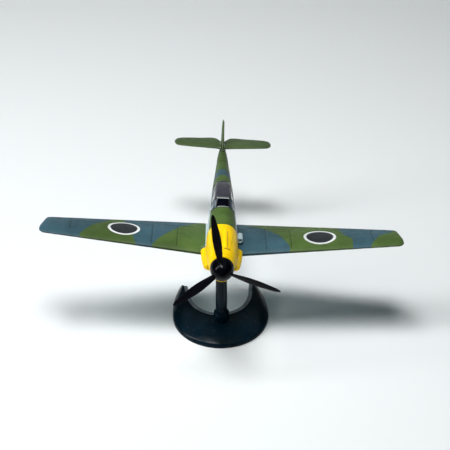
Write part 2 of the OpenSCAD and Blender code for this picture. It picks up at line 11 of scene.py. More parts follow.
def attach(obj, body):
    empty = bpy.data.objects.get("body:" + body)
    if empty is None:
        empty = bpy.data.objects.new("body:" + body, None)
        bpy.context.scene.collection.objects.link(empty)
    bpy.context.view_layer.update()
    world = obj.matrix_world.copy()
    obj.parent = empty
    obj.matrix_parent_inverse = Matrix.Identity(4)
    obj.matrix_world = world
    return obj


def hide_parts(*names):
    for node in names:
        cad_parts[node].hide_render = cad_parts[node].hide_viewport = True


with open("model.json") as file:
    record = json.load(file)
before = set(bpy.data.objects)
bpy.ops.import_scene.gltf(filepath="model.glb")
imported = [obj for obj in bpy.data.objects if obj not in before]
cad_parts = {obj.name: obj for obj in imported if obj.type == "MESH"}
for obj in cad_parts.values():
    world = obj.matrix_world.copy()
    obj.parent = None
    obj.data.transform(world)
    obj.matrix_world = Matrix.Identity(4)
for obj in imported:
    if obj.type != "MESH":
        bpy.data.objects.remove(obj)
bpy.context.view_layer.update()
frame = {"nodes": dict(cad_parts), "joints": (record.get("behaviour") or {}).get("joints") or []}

MM = 0.001
LEFT, RIGHT = 1, -1
SIDES = {"left": LEFT, "right": RIGHT}
GROOVE = 0.36               # half width of an engraved panel line, mm
ACROSS_LINE = (-1, -0.5, 0, 0.5, 1)         # places across a panel line, as shares of its half width


# ---------------------------------------------------------------- frame of the aircraft

def joint(name):
    return next(j for j in frame["joints"] if j["name"] == name)


HUB = np.array([0.0, -43.2, 11.3])          # the propeller's centre in the aircraft's own frame, mm
AXIS_Z = HUB[2]
aft = Vector(joint("propeller_spin")["axis"]).normalized()
up = Vector(joint("aircraft_lift_off")["axis"]).normalized()
side_axis = aft.cross(up).normalized()
turn = Matrix((side_axis, aft, up)).transposed()
hub_place = Vector(joint("propeller_spin")["pos_m"])
FLIGHT = Matrix.Translation(hub_place - turn @ Vector(HUB * MM)) @ turn.to_4x4()
IN_ROW = Matrix.Identity(4)


# ---------------------------------------------------------------- form, as the CAD source has it

# y, half width, top, height of the widest line, bottom, squareness
BODY = [
    [-38, 8.7, 20.0, 11.3, 2.6, 2.0], [-30, 10.2, 21.5, 10.8, 0.6, 2.15], [-15, 11.3, 23.0, 10.2, -2.2, 2.3],
    [0, 11.5, 24.1, 9.8, -4.0, 2.4], [15, 11.1, 25.1, 9.6, -5.0, 2.4], [31.5, 10.5, 26.5, 10.2, -5.2, 2.4],
    [50, 9.8, 28.2, 11.0, -4.4, 2.35], [70, 8.7, 29.4, 12.2, -1.8, 2.3], [90, 7.4, 27.8, 13.9, 1.9, 2.2],
    [115, 5.8, 25.9, 16.2, 6.8, 2.1], [139, 4.2, 24.0, 18.0, 11.6, 2.1], [163, 1.8, 21.8, 18.6, 15.2, 2.1]]
ROOF = [[39.4, 31.4], [42, 32.6], [46, 33.5], [52, 33.8], [58, 33.4], [64, 31.8], [70, 29.5], [72, 28.9]]
FIN = [[15.5, 157, 171], [19, 150, 175.5], [23, 142, 179.5], [27, 143.5, 181.7], [31.4, 147.6, 182],
       [35.8, 151.8, 180.2], [38.6, 155, 176.8], [40.1, 158.5, 172.5], [40.8, 161.5, 168]]
STAB = [[1.4, 141.5, 157], [6.5, 142.2, 164.2], [20, 143.8, 163.6], [34, 145.6, 162.6],
        [38, 147, 161], [39.8, 149.4, 158.6], [40.5, 152, 155.8]]
BLADE = [[4.5, 0.5, 40], [9.5, 0.68, 34], [15, 0.88, 29], [21, 1, 25], [27.5, 0.94, 21],
         [34, 0.74, 18], [39.5, 0.54, 15], [42.5, 0.34, 14], [44, 0.12, 14]]
HALF_SPAN, ROOT_CHORD, TIP_CHORD, SWEEP = 134.0, 57.5, 26.5, 3.5
DIHEDRAL, INCIDENCE = math.radians(5.5), math.radians(2.3)
WING_ROOT, SKIN = 12.0, 1.3
NOSE, COWL_END, DECK_END, HOOD_FRONT, HOOD_END, TAIL_START, HINGE = -38.0, 4.5, 31.5, 39.4, 70.0, 139.0, 163.0
COWL_ANGLE, DECK_ANGLE, HOOD_LEAN = -20.0, 32.0, 0.56
SPINNER_R, SPINNER_LEN, BLADE_CHORD, BLADE_TURN, BLADES = 8.45, 12.2, 6.4, 10.9, 3
WHEEL = (47.0, 19.0)
WHEEL_R, TYRE_IN, AXLE_R = 8.9, 5.4, 1.0
STAB_Z = 26.5
BODY_MIDDLE = 12.0          # height inside the fuselage that its surfaces face away from
STUD_Y, STUD_HOLE_R = 14, 3.0    # where the post's stud enters the belly, and its opening there


def mix(a, b, k):
    return a + (b - a) * k


def ease(k):
    k = np.clip(k, 0, 1)
    return k * k * (3 - 2 * k)


def spow(v, e):
    return np.sign(v) * np.abs(v) ** e


def smooth(table, v, column):
    """A column of the table at v, along a smooth cubic through its rows."""
    at, value = np.array(table, float)[:, 0], np.array(table, float)[:, column]
    v = np.asarray(v, float)
    slope = np.gradient(value, at)
    slope[1:-1] = (value[2:] - value[:-2]) / (at[2:] - at[:-2])
    i = np.clip(np.searchsorted(at, v, side="right") - 1, 0, len(at) - 2)
    h = at[i + 1] - at[i]
    k = np.clip((v - at[i]) / h, 0, 1)
    return ((2 * k**3 - 3 * k**2 + 1) * value[i] + (k**3 - 2 * k**2 + k) * slope[i] * h
            + (3 * k**2 - 2 * k**3) * value[i + 1] + (k**3 - k**2) * slope[i + 1] * h)


def stack(x, y, z):
    return np.stack(np.broadcast_arrays(x, y, z), -1).astype(float)


def body_pt(y, degrees, inset=0.0):
    """A point of the fuselage's surface: 0 degrees is the left side's widest line, 90 the top."""
    y, t = np.asarray(y, float), np.radians(degrees)
    width, middle, power = smooth(BODY, y, 1) - inset, smooth(BODY, y, 3), 2 / smooth(BODY, y, 5)
    height = np.where(np.sin(t) > 0, smooth(BODY, y, 2) - middle, middle - smooth(BODY, y, 4)) - inset
    return stack(width * spow(np.cos(t), power), y, middle + height * spow(np.sin(t), power))


def body_x(y, z):
    """Half width of the fuselage at a height."""
    middle, power = smooth(BODY, y, 3), smooth(BODY, y, 5)
    room = np.where(z > middle, smooth(BODY, y, 2) - middle, middle - smooth(BODY, y, 4))
    return smooth(BODY, y, 1) * (1 - np.minimum(1, np.abs(z - middle) / room) ** power) ** (1 / power)


def seam(y):
    return DECK_ANGLE + 54 * ease((np.asarray(y, float) - 114) / (TAIL_START - 114))


def chord_at(x):
    return mix(ROOT_CHORD, TIP_CHORD, x / HALF_SPAN)


def wing_le(x):
    k = np.clip((x - HALF_SPAN + 5) / 5, 0, 1)
    return SWEEP * x / HALF_SPAN + 5 * (1 - np.sqrt(1 - k * k))


def wing_te(x):
    straight, tip = SWEEP * x / HALF_SPAN + chord_at(x), SWEEP + 5 + 6.5 + 5.6 * (HALF_SPAN - x)
    return (straight + tip - np.sqrt((straight - tip) ** 2 + 16)) / 2


def half_thick(x, c):
    k = np.clip((x - HALF_SPAN + 3) / 3, 0, 1)
    return np.sqrt(np.maximum(0.02, 1 - k * k)) * (
        5 * mix(0.14, 0.115, x / HALF_SPAN) * chord_at(x)
        * (0.2969 * np.sqrt(c) - 0.126 * c - 0.3516 * c**2 + 0.2843 * c**3 - 0.1036 * c**4) + 0.28 * c)


def wing_mid(x, c):
    width = wing_te(x) - wing_le(x)
    return x * math.tan(DIHEDRAL) + 0.07 * c * (1 - c) * width - c * width * math.sin(INCIDENCE)


def wing_pt(x, c, lift):
    """lift is the height above the wing's middle surface, mm."""
    return stack(x, mix(wing_le(x), wing_te(x), c), wing_mid(x, c) + lift)


def sill(y):
    return body_pt(y, DECK_ANGLE) + [0, 0, 0.05]


def hood_pt(y, u, inset=0.0):
    """The canopy's surface: u runs from the left sill (0) over the roof (0.5) to the right sill (1)."""
    y, u = np.broadcast_arrays(np.asarray(y, float), np.asarray(u, float))
    lean = HOOD_LEAN * (1 - ease((y - HOOD_FRONT) / 12))
    cos, sin = np.cos(np.pi * u), np.sin(np.pi * u)
    round_off = (np.abs(cos) ** 8 + sin ** 8) ** (1 / 8)
    edge = sill(y)
    width, high = edge[..., 0] - inset, smooth(ROOF, y, 1) - inset - edge[..., 2]
    rise = sin / round_off
    box = stack(width * cos / round_off * (1 - 0.4 * rise * high / 14), y, edge[..., 2] + high * rise)
    oval = body_pt(y, mix(DECK_ANGLE, 180 - DECK_ANGLE, u), inset) + [0, 0, 0.05]
    p = mix(box, oval, ease((y - 56) / 14)[..., None])
    p[..., 1] = y - lean * (p[..., 2] - edge[..., 2])
    return p


# ---------------------------------------------------------------- mesh building

def stations(low, high, step, marks=()):
    """Even steps from low to high, with five extra places across each mark for an engraved line."""
    base = np.linspace(low, high, max(2, round((high - low) / step) + 1))
    extra = np.array([m + GROOVE * k for m in marks for k in ACROSS_LINE])
    extra = extra[(extra > low) & (extra < high)]
    inner = [b for b in base[1:-1] if not len(extra) or np.abs(extra - b).min() > GROOVE]
    return np.unique(np.concatenate([[low, high], inner, extra]))


def line(v, marks, half=GROOVE):
    """1 in the middle of an engraved line at any mark, falling to 0 at its edges."""
    v = np.asarray(v, float)
    return np.max([np.clip(1 - ((v - m) / half) ** 2, 0, 1) for m in marks], axis=0) if len(marks) else v * 0


def within(v, low, high):
    return ((v >= low) & (v <= high)).astype(float)


def loft(loops, wrap=False, fan=False, **fields):
    """Closed loops of points joined into a skin, capped at both ends unless it wraps round."""
    loops = np.asarray(loops, float)
    rows, count = loops.shape[:2]
    r, i = np.meshgrid(np.arange(rows if wrap else rows - 1), np.arange(count), indexing="ij")
    ahead, beside = (r + 1) % rows * count, (i + 1) % count
    corners = np.stack([r * count + i, r * count + beside, ahead + beside, ahead + i], -1)
    faces = corners.reshape(-1, 4).tolist()
    if not wrap:
        cap = [[k, k + 1, count - 2 - k, count - 1 - k] for k in range(count // 2 - 1)]
        if fan:
            cap = [list(range(count))]
        faces += [f[::-1] for f in cap] + [[k + (rows - 1) * count for k in f] for f in cap]
    spread = {k: np.broadcast_to(v, (rows, count)).reshape(-1) for k, v in fields.items()}
    return {"points": loops.reshape(-1, 3), "faces": faces, "fields": spread}


def shell(outer, inner, **fields):
    """A skin with thickness, from two grids of points of the same shape."""
    spread = {k: np.broadcast_to(v, outer.shape[:2]) for k, v in fields.items()}
    joined = {k: np.concatenate([v, v[:, ::-1]], 1) for k, v in spread.items()}
    return loft(np.concatenate([outer, inner[:, ::-1]], 1), **joined)


def rings(profile, centre, axis="y", count=64, wrap=False, squash=1.0):
    """Circles of the profile's radii at its places along the axis, joined."""
    a = np.linspace(0, 2 * np.pi, count, endpoint=False)
    loops = []
    for radius, place in profile:
        u, v, w = radius * np.cos(a), squash * radius * np.sin(a), np.full(count, float(place))
        loops.append({"y": stack(u, w, v), "z": stack(u, v, w), "x": stack(w, u, v)}[axis])
    return loft(np.array(loops) + np.array(centre, float), wrap=wrap, fan=True)


def ribbon(points, normals, width, height, sink=0.15):
    """A raised strip along a line of points on a surface."""
    points, normals = np.asarray(points, float), np.asarray(normals, float)
    along = np.gradient(points, axis=0)
    across = np.cross(along, normals)
    across *= width / 2 / np.linalg.norm(across, axis=1)[:, None]
    edge = 0.72
    places = [(-1, -sink), (-1, height * 0.5), (-edge, height), (edge, height), (1, height * 0.5), (1, -sink)]
    return loft(np.stack([points + across * out + normals * up for out, up in places], 1))


def surface_normal(surface, a, b):
    """Unit normals of surface(a, b), on the side that points away from the middle of the fuselage."""
    d = 0.02
    n = np.cross(surface(a + d, b) - surface(a - d, b), surface(a, b + d / 10) - surface(a, b - d / 10))
    n /= np.linalg.norm(n, axis=-1)[..., None]
    away = surface(a, b) - np.array([0, 0, BODY_MIDDLE])
    away[..., 1] = 0
    return n * np.sign((n * away).sum(-1))[..., None]


# Values that pieces give the paints at each point, with what a point has when its piece gives none:
# groove darkens engraved lines and also paints shade into mouths, slots and the tail cone's lower sides,
# patch is above 0 on green, pale is above 0 on the pale sides and paints a highlight on the stand's lip,
# mark is the distance from the middle of a wing marking.
FIELDS = {"groove": 0.0, "patch": 9.0, "pale": -9.0, "mark": 99.0}


def solid(name, parts, side=1, place=FLIGHT):
    """An object from lofted parts, given in millimetres."""
    points = np.concatenate([p["points"] for p in parts]) * [side, 1, 1] * MM
    starts = np.cumsum([0] + [len(p["points"]) for p in parts])
    faces = [[v + s for v in f] for p, s in zip(parts, starts) for f in p["faces"]]
    mesh = bpy.data.meshes.new(name)
    mesh.from_pydata(points.tolist(), [], faces)
    for field, usual in FIELDS.items():
        values = np.concatenate([np.asarray(p["fields"].get(field, np.full(len(p["points"]), usual)), float)
                                 for p in parts])
        mesh.attributes.new(field, "FLOAT", "POINT").data.foreach_set("value", values.astype(np.float32))
    bm = bmesh.new()
    bm.from_mesh(mesh)
    bmesh.ops.remove_doubles(bm, verts=bm.verts, dist=2e-6)
    bmesh.ops.dissolve_degenerate(bm, edges=bm.edges, dist=1e-6)
    bmesh.ops.recalc_face_normals(bm, faces=bm.faces)
    bm.to_mesh(mesh)
    bm.free()
    made = bpy.data.objects.new(name, mesh)
    made.matrix_world = place
    bpy.context.scene.collection.objects.link(made)
    return made


def carve(made, cutters):
    for cutter in cutters:
        cut = made.modifiers.new("cut", "BOOLEAN")
        cut.object, cut.solver, cut.operation = cutter, "EXACT", "DIFFERENCE"
    shaped = bpy.data.meshes.new_from_object(made.evaluated_get(bpy.context.evaluated_depsgraph_get()))
    made.modifiers.clear()
    made.data = shaped
    for cutter in cutters:
        bpy.data.objects.remove(cutter)


def finish_mesh(made, bevel, sharp):
    made.data.shade_smooth()
    made.data.set_sharp_from_angle(angle=math.radians(sharp))
    if bevel:
        rounded = made.modifiers.new("rounded", "BEVEL")
        rounded.width, rounded.segments, rounded.limit_method = bevel * MM, 2, "ANGLE"
        rounded.angle_limit = math.radians(sharp + 4)
        rounded.use_clamp_overlap = True
        rounded.harden_normals = True


def piece(name, parts, stands_for, material, body="aircraft", side=1, place=FLIGHT, bevel=0.12,
          sharp=36, cutters=()):
    made = solid(name, parts, side, place)
    if cutters:
        carve(made, cutters)
    finish_mesh(made, bevel, sharp)
    made.data.materials.clear()
    made.data.materials.append(material)
    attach(made, body)
    if stands_for:
        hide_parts(*stands_for)
    return made


# ---------------------------------------------------------------- materials

def srgb(*levels):
    return tuple(v / 255 / 12.92 if v < 10.3 else ((v / 255 + 0.055) / 1.055) ** 2.4 for v in levels) + (1.0,)


class Graph:
    """A material's nodes, added one at a time."""

    def __init__(self, name):
        self.material = bpy.data.materials.new(name)
        self.material.use_nodes = True
        self.tree = self.material.node_tree
        self.shader = self.tree.nodes["Principled BSDF"]
        self.place = self.add("TexCoord").outputs["Object"]

    def add(self, kind, inputs=(), **settings):
        node = self.tree.nodes.new("ShaderNode" + kind)
        for key, value in settings.items():
            setattr(node, key, value)
        for socket, value in dict(inputs).items():
            self.put(node.inputs[socket], value)
        return node

    def put(self, socket, value):
        if isinstance(value, bpy.types.NodeSocket):
            self.tree.links.new(value, socket)
        else:
            socket.default_value = value

    def sum(self, operation, a, b, clamp=False):
        return self.add("Math", {0: a, 1: b}, operation=operation, use_clamp=clamp).outputs[0]

    def noise(self, scale, detail=3.0, rough=0.55, seed=0.0):
        shift = (seed, seed * 0.7, seed * 1.3)
        moved = self.add("Mapping", {"Vector": self.place, "Location": shift}).outputs[0]
        settings = {"Vector": moved, "Scale": scale, "Detail": detail, "Roughness": rough}
        return self.add("TexNoise", settings).outputs[0]

    def step(self, value, low, high, to_low=0.0, to_high=1.0):
        return self.add("MapRange", {"Value": value, "From Min": low, "From Max": high, "To Min": to_low,
                                     "To Max": to_high}, interpolation_type="SMOOTHSTEP").outputs[0]

    def blend(self, factor, a, b, how="MIX"):
        node = self.add("Mix", data_type="RGBA", blend_type=how)
        for socket, value in zip((node.inputs[0], node.inputs[6], node.inputs[7]), (factor, a, b)):
            self.put(socket, value)
        return node.outputs[2]

    def grey(self, level):
        return self.add("CombineColor", {0: level, 1: level, 2: level}).outputs[0]

    def field(self, name):
        return self.add("Attribute", attribute_name=name).outputs["Fac"]


def plastic(name, colour, rough=0.4, mottle=0.10, edge_wear_and_highlight=0.35, grain=0.05, specular=0.5, specks=0.16,
            graph=None, tint=None):
    """Moulded plastic: cloudy colour, uneven gloss, a fine skin, dust, dark lines with painted shade, and
    pale edges: worn ones, and a painted highlight on the stand.
    """
    g = graph or Graph(name)
    cloudy = g.step(g.noise(95, 5, 0.6, 1.7), 0.28, 0.72, 1 - mottle, 1 + mottle)
    base = g.blend(1.0, colour, g.grey(cloudy), "MULTIPLY")
    dust = g.step(g.noise(1400, 2, 0.7, 4.1), 0.60, 0.75, 0, specks)
    base = g.blend(dust, base, tint or srgb(150, 155, 150))
    # Pale edges: real wear on most pieces; on the stand, a painted highlight along its bevels.
    edge = g.step(g.add("NewGeometry").outputs["Pointiness"], 0.53, 0.66, 0, edge_wear_and_highlight)
    worn_and_lit_edges = g.sum("MULTIPLY", edge, g.step(g.noise(420, 4, 0.7, 7.3), 0.35, 0.62))
    base = g.blend(worn_and_lit_edges, base, tint or srgb(205, 208, 205))
    # Darkens engraved lines, and paints shade wherever the groove field asks for it.
    base = g.blend(g.sum("MULTIPLY", g.field("groove"), 0.72, True), base, srgb(24, 28, 24))
    g.put(g.shader.inputs["Base Color"], base)
    uneven = g.step(g.noise(260, 4, 0.6, 2.9), 0.25, 0.75, rough - 0.07, rough + 0.09)
    g.put(g.shader.inputs["Roughness"], g.sum("ADD", uneven, g.sum("MULTIPLY", worn_and_lit_edges, 0.2)))
    skin = g.sum("ADD", g.noise(3200, 2, 0.5, 5.5), g.sum("MULTIPLY", g.noise(700, 3, 0.5, 6.1), 0.6))
    bump = g.add("Bump", {"Height": skin, "Strength": grain, "Distance": 0.0004})
    g.put(g.shader.inputs["Normal"], bump.outputs[0])
    g.shader.inputs["Specular IOR Level"].default_value = specular
    return g.material


def camouflage(name, green, slate, pale):
    """Two-tone upper paint over pale sides, with plain disc markings, from the pieces' own fields."""
    g = Graph(name)
    waver = g.sum("SUBTRACT", g.noise(240, 4, 0.65, 3.3), 0.5)
    patch = g.sum("ADD", g.field("patch"), g.sum("MULTIPLY", waver, 2.4))
    paint = g.blend(g.step(patch, -0.45, 0.45), slate, green)
    # Broad random lighter and darker areas over the paint.
    broad_tone = g.step(g.noise(26, 2, 0.5, 8.2), 0.32, 0.66, 0.74, 1.08)
    paint = g.blend(1.0, paint, g.grey(broad_tone), "MULTIPLY")
    low = g.sum("ADD", g.field("pale"), g.sum("MULTIPLY", waver, 1.2))
    paint = g.blend(g.step(low, -0.3, 0.3), paint, pale)
    away = g.field("mark")
    paint = g.blend(g.step(away, 11.9, 12.2, 1, 0), paint, srgb(222, 226, 226))
    paint = g.blend(g.step(away, 9.9, 10.2, 1, 0), paint, srgb(38, 42, 44))
    return plastic(name, paint, rough=0.5, graph=g, specular=0.2, mottle=0.13)


def lipped_plastic():
    """The stand's black plastic, tinted dark teal as a painted reflection, with its lip painted lighter from
    the pieces' own field as a painted highlight, and painted highlights along its edges.
    """
    g = Graph("stand_black_plastic")
    colour = g.blend(g.step(g.field("pale"), 0.25, 0.6), srgb(4, 23, 34), srgb(120, 126, 134))
    return plastic("stand_black_plastic", colour, rough=0.2, mottle=0.3, edge_wear_and_highlight=0.12, grain=0.02, specular=0.1,
                   specks=0.0, graph=g, tint=srgb(96, 112, 120))


GREEN, SLATE, PALE = srgb(74, 98, 44), srgb(54, 86, 98), srgb(186, 206, 210)
paints = {
    "upper": camouflage("camouflage_paint", GREEN, SLATE, PALE),
    "tail": camouflage("tail_paint", srgb(76, 96, 56), SLATE, PALE),
    "pale": plastic("pale_blue_paint", PALE, rough=0.4, mottle=0.05, edge_wear_and_highlight=0.2),
    "yellow": plastic("yellow_paint", srgb(255, 210, 0), rough=0.34, mottle=0.08, edge_wear_and_highlight=0.2, specular=0.12,
                      tint=srgb(250, 232, 120)),
    "black": plastic("propeller_black_plastic", srgb(7, 7, 14), rough=0.32, mottle=0.25, edge_wear_and_highlight=0.06,
                     grain=0.03, specular=0.06, tint=srgb(70, 74, 84)),
    "stand": lipped_plastic(),
    "spinner": plastic("spinner_black_plastic", srgb(5, 5, 10), rough=0.08, mottle=0.2, edge_wear_and_highlight=0.05,
                       grain=0.02, specular=0.06, specks=0.02, tint=srgb(70, 70, 76)),
    "tyre": plastic("tyre_black_plastic", srgb(26, 26, 28), rough=0.6, mottle=0.2, edge_wear_and_highlight=0.3, grain=0.2),
    "grey": plastic("structure_grey_plastic", srgb(92, 95, 98), rough=0.5, mottle=0.12),
    "dark": plastic("cockpit_dark_plastic", srgb(34, 36, 40), rough=0.55, mottle=0.2),
    "frame": plastic("canopy_frame_paint", srgb(30, 34, 38), rough=0.3, mottle=0.12, edge_wear_and_highlight=0.35),
    "rail": plastic("frame_highlight_paint", srgb(214, 222, 216), rough=0.25, mottle=0.06, edge_wear_and_highlight=0.1),
    "pane": plastic("windscreen_black_plastic", srgb(8, 9, 20), rough=0.1, mottle=0.3, edge_wear_and_highlight=0.05, grain=0.02,
                    specular=0.2, tint=srgb(60, 64, 76)),
    "side_pane": plastic("side_pane_plastic", srgb(72, 90, 104), rough=0.12, mottle=0.15, edge_wear_and_highlight=0.2,
                         grain=0.02),
}


def canopy_plastic():
    g = Graph("smoked_canopy_plastic")
    smoke = g.step(g.noise(120, 3, 0.5, 2.2), 0.3, 0.7)
    g.put(g.shader.inputs["Base Color"], g.blend(smoke, srgb(70, 70, 80), srgb(88, 86, 98)))
    g.put(g.shader.inputs["Roughness"], g.step(g.noise(500, 3, 0.6, 3.1), 0.3, 0.7, 0.05, 0.14))
    bump = g.add("Bump", {"Height": g.noise(900, 2, 0.5, 1.1), "Strength": 0.04, "Distance": 0.0003})
    g.put(g.shader.inputs["Normal"], bump.outputs[0])
    g.shader.inputs["Transmission Weight"].default_value = 0.45
    g.shader.inputs["IOR"].default_value = 1.45
    g.shader.inputs["Specular IOR Level"].default_value = 0.3
    return g.material


paints["canopy"] = canopy_plastic()


# ---------------------------------------------------------------- wing

# Edges between the two upper colours on each wing, from root to tip, as (distance out, y) points.
PATCHES = {
    RIGHT: [[(50.9, 3.1), (38.7, 24.3), (32.5, 35.9), (22.4, 47.8), (19.3, 50.8)],
            [(63.1, 1.7), (67, 18), (74.6, 38.1)],
            [(103.7, 5.4), (96.3, 22.6), (89.3, 31.2), (82.4, 38.7)]],
    LEFT: [[(50, 6.5), (44.4, 21.5), (37, 33), (30.7, 41.3), (19.7, 50.4)],
           [(95.9, 0), (96.8, 14.3), (92.6, 19.9), (90.1, 24.5), (88.6, 36.4)],
           [(107.4, 0), (116.8, 18.5), (125.5, 24), (129, 28)]]}
ROOT_SIGN = {RIGHT: 1, LEFT: -1}            # 1 where the paint at the wing's root is green
MARK_AT = {LEFT: (73.0, 19.5), RIGHT: (73.0, 22.0)}
RIBS = [(33.0, 0.03, 0.76), (51.5, 0.04, 0.76), (72.0, 0.76, 1.0), (112.0, 0.24, 0.86), (122.5, 0.76, 1.0)]
SPANWISE = [(0.76, 20.0, 128.0)]


def patch_field(side, x, y):
    """Distance to the nearest colour edge, positive on green."""
    sign, nearest = np.full(x.shape, float(ROOT_SIGN[side])), np.full(x.shape, 99.0)
    for edge in PATCHES[side]:
        at = np.array(sorted(edge, key=lambda p: p[1]))
        beyond = x - np.interp(y, at[:, 1], at[:, 0])
        sign = np.where(beyond > 0, -sign, sign)
        nearest = np.minimum(nearest, np.abs(beyond))
    return sign * nearest


def wing_half(side, upper):
    """One skin of a wing. The upper colours wrap round the leading edge."""
    k = 1 if upper else -1
    xs = stations(WING_ROOT, HALF_SPAN - 6, 2.2, [r[0] for r in RIBS])
    xs = np.concatenate([xs, HALF_SPAN - np.array([5.2, 4.5, 3.8, 3.2, 2.6, 2, 1.5, 1, 0.6, 0.3, 0.1, 0])])
    cs = (1 - np.cos(np.pi * np.linspace(0, 1, 41))) / 2
    half = 0.008
    hinge = SPANWISE[0][0]
    cs = np.unique(np.concatenate([cs[np.abs(cs - hinge) > half], hinge + half * np.array(ACROSS_LINE)]))
    x, c = np.meshgrid(xs, cs, indexing="ij")
    dent = np.max([line(x, [at]) * ease((c - low) / 0.05) * within(c, low, high) for at, low, high in RIBS]
                  + [line(c, [at], half) * within(x, low, high) for at, low, high in SPANWISE], axis=0)
    thick = half_thick(x, c)
    rim = np.where(c == 0, 0, 0.02)
    outer = wing_pt(x, c, k * (thick + rim - 0.16 * dent * within(thick, 0.3, 9)))
    inner = wing_pt(x, np.maximum(c, 0.012), k * np.maximum(0.02, thick - SKIN))
    y = outer[..., 1]
    edge_line = 1 - ease(c / (0.006 if upper else 0.014))
    fields = {"groove": np.maximum(dent, edge_line), "patch": patch_field(side, x, y)}
    if upper:
        fields["mark"] = np.hypot(x - MARK_AT[side][0], y - MARK_AT[side][1])
    else:
        fields["pale"] = (c - 0.012) * 150
    return shell(outer, inner, **fields)


def panel_frame(side):
    """The wing panel's own frame: its middle surface at the root's leading edge, z up from it."""
    tilt = Matrix.Rotation(-DIHEDRAL, 4, "Y")
    return FLIGHT @ (Matrix.Scale(-1, 4, (1, 0, 0)) if side < 0 else Matrix.Identity(4)) @ tilt


def box_part(low, high):
    (x0, y0, z0), (x1, y1, z1) = low, high
    return loft([[(x0, y0, z), (x1, y0, z), (x1, y1, z), (x0, y1, z)] for z in (z0, z1)], fan=True)


def bay_cutters(side):
    disc = rings([(WHEEL_R + 0.9, -8), (WHEEL_R + 0.9, 0.5)], (WHEEL[0], WHEEL[1], 0), "z", 72)
    slot = box_part((15.5, 14.9, -8), (45.5, 20.1, 0.5))
    place = panel_frame(side)
    return [solid("bay_disc", [disc], place=place), solid("bay_slot", [slot], place=place)]


def make_wings():
    for word, side in SIDES.items():
        piece("upper_wing_skin_" + word, [wing_half(side, True)], ["wing_upper_" + word],
              paints["upper"], side=side)
        piece("lower_wing_skin_" + word, [wing_half(side, False)], ["wing_lower_" + word],
              paints["upper"], side=side, cutters=bay_cutters(side))
        piece("wing_root_fairing_" + word, [fairing()], ["root_fairing_" + word],
              paints["pale"], side=side)


def fairing():
    c = (1 - np.cos(np.pi * np.linspace(0, 1, 45))) / 2
    at = np.full(c.shape, WING_ROOT)
    top, low = wing_pt(at, c, half_thick(at, c) + 0.01), wing_pt(at, c, -half_thick(at, c) - 0.01)
    foil = np.concatenate([top, low[::-1]])
    inner = body_x(foil[:, 1], foil[:, 2]) + 0.12
    is_top = np.concatenate([np.ones(len(c)), np.zeros(len(c))])
    swell = is_top * ease((foil[:, 1] - 2) / 10) * (1 - ease((foil[:, 1] - 50) / 7))
    loops = []
    for k in np.linspace(0, 1, 9):
        x = np.minimum(mix(inner, WING_ROOT - 0.06, k), WING_ROOT - 0.06 * k)
        loops.append(stack(x, foil[:, 1], foil[:, 2] + 1.6 * (1 - k) ** 2.2 * swell))
    return loft(loops)


# ---------------------------------------------------------------- fuselage

def body_shell(y0, y1, low, high, steps, marks=(), step=1.6, bump=None, shade=None):
    """A skin of the fuselage. low and high give its angles at each y; bump raises its outer side."""
    ys = stations(y0, y1, step, marks)
    y = np.repeat(ys[:, None], steps + 1, 1)
    t = low(ys)[:, None] + (high(ys) - low(ys))[:, None] * np.linspace(0, 1, steps + 1)[None]
    dent = line(y, marks)
    plain = body_pt(y, t)
    raised = bump(plain) if bump else 0 * y
    outer = body_pt(y, t, 0.14 * dent - raised)
    fields = {"groove": dent}
    if shade:
        fields.update(shade(outer))
    return shell(outer, body_pt(y, t, SKIN), **fields)


def constant(value):
    return lambda y: np.full(np.shape(y), float(value))


def side_paint(p):
    """Green comes down the sides behind the canopy."""
    ys, heights = [66, 70.5, 80, 86, 98, 110, 125, 139], [40, 17, 17.2, 19.5, 20.4, 20.6, 21, 17]
    edge = np.interp(p[..., 1], ys, heights)
    return {"pale": np.minimum(9, edge - p[..., 2]), "patch": deck_bands(p[..., 1])}


def deck_bands(y):
    """Distance to the nearest colour edge along the spine, positive on green."""
    return np.where(y < 90.5, 83.5 - y, y - 98.0)


# The upper cowling: its front ring and slot, the slot's reach from the middle, and the height where its
# top starts.
COWL_RING_Y, SLOT_Y, SLOT_X, COWL_SIDE_Z = -34.5, -27.9, (1.2, 5.8), 14


def gun_fairings(p):
    """Two low blisters ahead of the windscreen, each with a slot at its front."""
    x, y = np.abs(p[..., 0]), p[..., 1]
    high = np.where(p[..., 2] > COWL_SIDE_Z, 1, 0)
    across = np.clip(1 - ((x - 2.2) / 1.4) ** 2, 0, 1) ** 0.7
    blister = 0.6 * across * ease((y + 27.2) / 0.5) * (1 - ease((y + 12) / 14))
    slot = 0.5 * within(x, *SLOT_X) * line(y, [SLOT_Y], 0.75)
    return high * (blister - slot)


# Darkening on the upper cowling: painted shade in the gun slots and gun troughs, a soft darker line on top,
# and the engraved ring.
def cowl_lines_and_shade(p):
    x, y = np.abs(p[..., 0]), p[..., 1]
    slot = within(x, *SLOT_X) * line(y, [SLOT_Y], 0.85) * (p[..., 2] > COWL_SIDE_Z)
    trough = np.clip(1 - ((x - 3.6) / 0.45) ** 2, 0, 1) * within(y, -26, -5) * 0.6
    ridge = np.clip(1 - ((x - mix(5.3, 8.6, (y + 27) / 27)) / 0.6) ** 2, 0, 1) * within(y, -27, 0) * 0.28
    ring = 0.45 * line(y, [COWL_RING_Y])
    return {"groove": np.maximum.reduce([slot, ring, np.maximum(trough, ridge) * (p[..., 2] > COWL_SIDE_Z)])}


BULGE_GAP = 0.06            # clear space between the fuselage and a bulge fixed on it


def bulge(y, low, high, steps, depth):
    """A closed loop round a bulge on the fuselage at y, deepest in the middle of its angles."""
    t = np.linspace(low, high, steps + 1)
    across = np.abs(2 * np.linspace(0, 1, steps + 1) - 1)
    outer = body_pt(np.full(t.shape, float(y)), t, -BULGE_GAP - 0.15 - depth * (1 - across**3) ** 0.6)
    inner = body_pt(np.full(t.shape, float(y)), t, -BULGE_GAP)
    return np.concatenate([outer, inner[::-1]])


